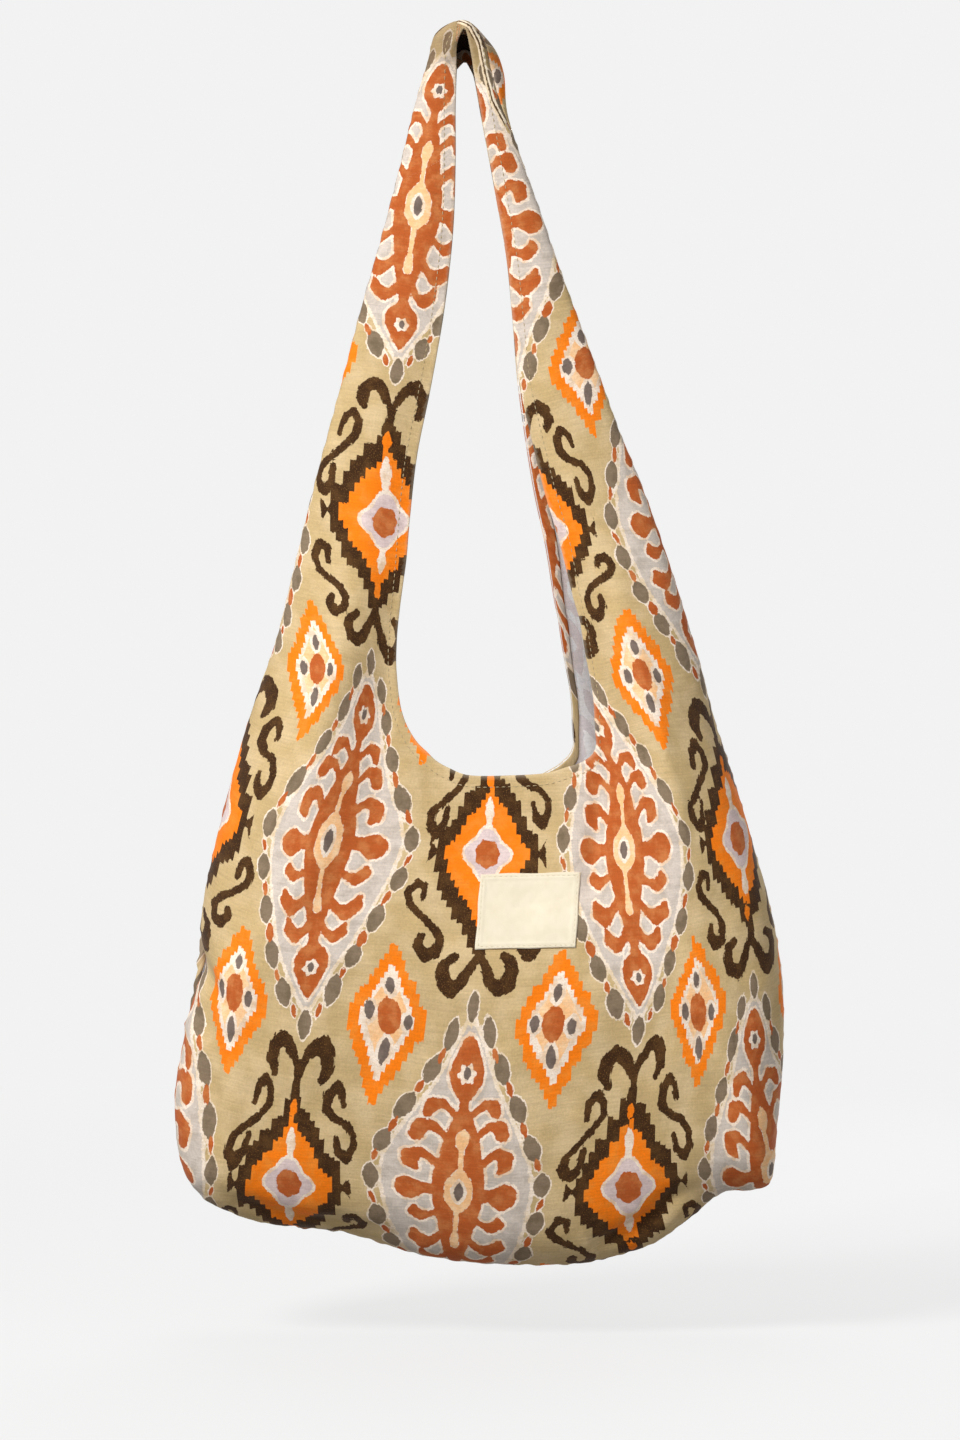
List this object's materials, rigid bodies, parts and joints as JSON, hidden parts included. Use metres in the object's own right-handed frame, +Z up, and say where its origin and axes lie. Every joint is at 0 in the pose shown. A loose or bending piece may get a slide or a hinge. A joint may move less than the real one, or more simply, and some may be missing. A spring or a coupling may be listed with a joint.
{
  "type": "slouch shoulder bag",
  "caption": "Soft sling bag of ikat-printed canvas with a wide one-piece strap, a scooped open mouth and a boxed base, hanging empty from the strap's crown.",
  "frame": {"origin": "the hang point, under the crown of the strap", "axes": "+Z up along the hanging bag, -Y out of the front panel that carries the label, +X to the viewer's right"},
  "size_m": [0.3512, 0.1256, 0.7205],
  "materials": {
    "printed_canvas": "plain-woven cotton canvas with an ikat-style print in orange, rust, dark brown, taupe and pale lilac-grey on straw",
    "facing_canvas": "the same printed canvas, cut as a narrow facing and topstitched",
    "label_cotton": "plain cream cotton, bare, with a stitched edge"
  },
  "bodies": {
    "root": {"front_panel": "printed_canvas", "back_panel": "printed_canvas", "front_mouth_facing": "facing_canvas", "back_mouth_facing": "facing_canvas", "label": "label_cotton"}
  },
  "joints": []
}
